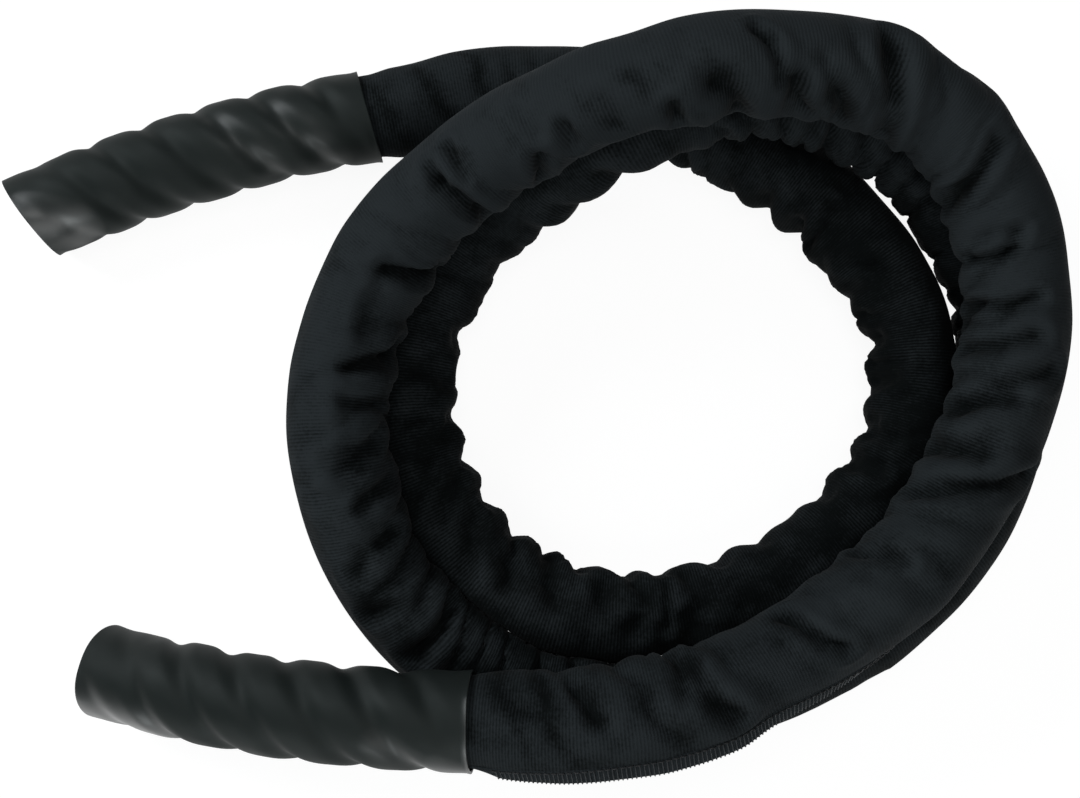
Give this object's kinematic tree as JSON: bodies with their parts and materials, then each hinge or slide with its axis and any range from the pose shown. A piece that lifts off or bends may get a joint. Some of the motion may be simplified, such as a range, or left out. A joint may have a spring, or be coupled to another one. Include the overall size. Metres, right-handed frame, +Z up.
{
  "type": "battle rope",
  "caption": "Heavy laid rope in a woven fabric sleeve, put down in a loose coil, with a heat-shrunk grip over the bare lay at either end.",
  "frame": {"origin": "on the ground, under the middle of the whole outline", "axes": "+X away from the grips, +Y to the side where the lower rope end leaves the coil, +Z up"},
  "size_m": [0.4846, 0.3326, 0.1357],
  "materials": {
    "woven_sleeve": "matte ribbed weave",
    "polyester_strand": "matte fibre",
    "binding_tape": "satin",
    "shrunk_grip": "satin"
  },
  "bodies": {
    "root": {"sleeve": "woven_sleeve", "strand_1": "polyester_strand", "strand_2": "polyester_strand", "strand_3": "polyester_strand", "end_binding_a": "binding_tape", "end_binding_b": "binding_tape", "grip_a": "shrunk_grip", "grip_b": "shrunk_grip"}
  },
  "joints": []
}
